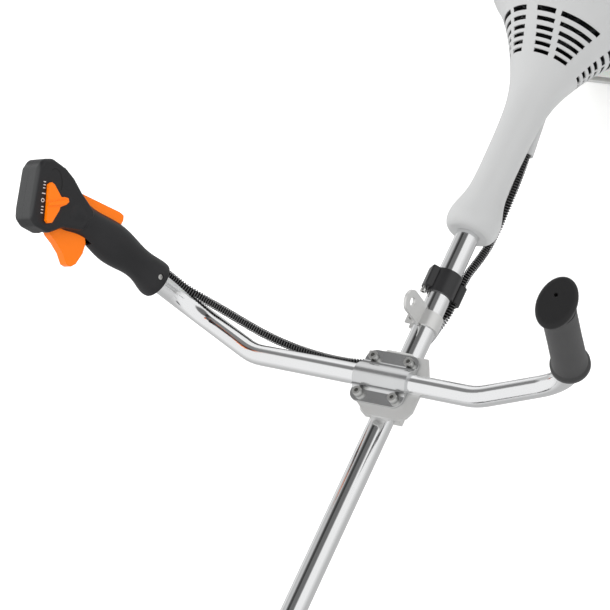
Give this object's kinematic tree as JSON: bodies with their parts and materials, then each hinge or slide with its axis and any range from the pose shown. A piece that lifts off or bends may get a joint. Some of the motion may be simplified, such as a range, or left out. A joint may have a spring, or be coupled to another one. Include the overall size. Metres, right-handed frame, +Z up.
{
  "type": "string trimmer",
  "caption": "Engine-driven string trimmer on a straight drive tube, with a wide two-handed bar, a control grip with trigger, a harness eye and a guarded cutting head.",
  "frame": {"origin": "centre of the tank stand foot face, on the floor, under the engine", "axes": "+Y forward along the drive tube to the cutting head, +Z up, +X the operator's right"},
  "size_m": [0.6414, 1.6816, 0.4306],
  "materials": {
    "tube_metal": "polished extruded tube",
    "bracket_metal": "satin pressed and machined",
    "cast_metal": "as cast",
    "steel": "ground",
    "screw_steel": "zinc plated",
    "housing_plastic": "light grey, fine satin",
    "cover_plastic": "pale grey, fine satin",
    "grip_plastic": "near black, fine grain",
    "black_plastic": "black, satin",
    "conduit_plastic": "black, ribbed",
    "orange_plastic": "orange, satin gloss",
    "rubber": "moulded, matt",
    "guard_plastic": "charcoal, grained",
    "tank_plastic": "milky, translucent",
    "foam": "open-cell foam",
    "nylon_line": "extruded nylon",
    "ceramic": "glazed",
    "rope_fibre": "braided",
    "spring_steel": "drawn wire"
  },
  "bodies": {
    "root": {"drive_tube": "tube_metal", "shaft_bushings": "black_plastic", "fan_housing": "housing_plastic", "crankcase": "cast_metal", "cylinder": "cast_metal", "piston": "cast_metal", "connecting_rod": "steel", "crankshaft": "steel", "flywheel": "cast_metal", "clutch_carrier": "steel", "clutch_shoes": "steel", "ball_bearings": "steel", "spark_plug": "ceramic", "plug_boot": "rubber", "ignition_coil": "black_plastic", "muffler": "steel", "muffler_guard": "black_plastic", "carburettor": "cast_metal", "air_filter_element": "foam", "engine_cover": "cover_plastic", "fuel_tank": "tank_plastic", "tank_stand": "black_plastic", "starter_cover": "black_plastic", "housing_screws": "screw_steel", "handlebar": "tube_metal", "handlebar_bracket": "bracket_metal", "handlebar_clamp": "bracket_metal", "clamp_screws": "screw_steel", "harness_eye": "bracket_metal", "cable_clip": "black_plastic", "throttle_conduit": "conduit_plastic", "throttle_cable": "spring_steel", "left_grip": "rubber", "control_grip_inner": "grip_plastic", "control_grip_outer": "grip_plastic", "gearbox_housing": "cast_metal", "guard": "guard_plastic", "line_cutter": "steel", "starter_rope": "rope_fibre"},
    "drive_line": {"drive_shaft": "steel", "clutch_drum": "steel", "pinion_gear": "steel"},
    "cutting_head": {"output_gear": "steel", "output_shaft": "steel", "thrust_plate": "steel", "head_shell": "black_plastic", "line_spool": "orange_plastic", "wound_line": "nylon_line", "cutting_line": "nylon_line", "feed_spring": "spring_steel"},
    "bump_knob": {"bump_knob": "black_plastic"},
    "throttle_trigger": {"throttle_trigger": "orange_plastic"},
    "throttle_lockout": {"throttle_lockout": "orange_plastic"},
    "stop_switch": {"stop_switch": "orange_plastic"},
    "starter_handle": {"starter_handle": "black_plastic"},
    "starter_pulley": {"starter_pulley": "black_plastic"},
    "choke_lever": {"choke_lever": "black_plastic"},
    "primer_bulb": {"primer_bulb": "rubber"},
    "fuel_cap": {"fuel_cap": "black_plastic"},
    "air_filter_cover": {"air_filter_cover": "black_plastic"}
  },
  "joints": [
    {"name": "head_spin", "type": "hinge", "parent": "root", "child": "cutting_head", "pos_m": [0, 1.5, 0.148], "axis": [0, 0.5, -0.866], "continuous": true},
    {"name": "drive_spin", "type": "hinge", "parent": "root", "child": "drive_line", "pos_m": [0, 1, 0.148], "axis": [0, 1, 0], "continuous": true},
    {"name": "bump_feed", "type": "slide", "parent": "cutting_head", "child": "bump_knob", "axis": [0, -0.5, 0.866], "range_m": [0, 0.005], "stiffness_N_per_m": 900, "springref_m": -0.002, "deforming": ["feed_spring"]},
    {"name": "throttle_pull", "type": "hinge", "parent": "root", "child": "throttle_trigger", "pos_m": [0.32899, 0.52588, 0.37299], "axis": [-0.9557, 0, 0.2942], "range_deg": [0, 16], "stiffness_Nm_per_rad": 0.25, "springref_deg": -17.19},
    {"name": "lockout_press", "type": "hinge", "parent": "root", "child": "throttle_lockout", "pos_m": [0.32628, 0.50058, 0.36418], "axis": [0.9557, 0, -0.2942], "range_deg": [0, 10], "stiffness_Nm_per_rad": 0.25, "springref_deg": -17.19},
    {"name": "switch_slide", "type": "slide", "parent": "root", "child": "stop_switch", "axis": [-0.1466, 0.8671, -0.4761], "range_m": [-0.006, 0.006]},
    {"name": "starter_pull", "type": "slide", "parent": "root", "child": "starter_handle", "axis": [0, 0, 1], "range_m": [0, 0.55], "deforming": ["starter_rope"]},
    {"name": "starter_turn", "type": "hinge", "parent": "root", "child": "starter_pulley", "pos_m": [0, -0.078, 0.148], "axis": [0, -1, 0], "range_deg": [0, 1080]},
    {"name": "choke_turn", "type": "hinge", "parent": "root", "child": "choke_lever", "pos_m": [-0.064, -0.048, 0.21], "axis": [1, 0, 0], "range_deg": [0, 55]},
    {"name": "primer_press", "type": "slide", "parent": "root", "child": "primer_bulb", "axis": [1, 0, 0], "range_m": [0, 0.004], "stiffness_N_per_m": 300, "springref_m": -0.002},
    {"name": "fuel_cap_off", "type": "slide", "parent": "root", "child": "fuel_cap", "axis": [-1, 0, 0], "range_m": [0, 0.04]},
    {"name": "filter_cover_off", "type": "slide", "parent": "root", "child": "air_filter_cover", "axis": [-1, 0, 0], "range_m": [0, 0.06]}
  ],
  "couplings": [
    {"joint": "drive_spin", "follows": "head_spin", "ratio": -1.4286},
    {"joint": "starter_turn", "follows": "starter_pull", "rad_per_m": 33.784}
  ]
}
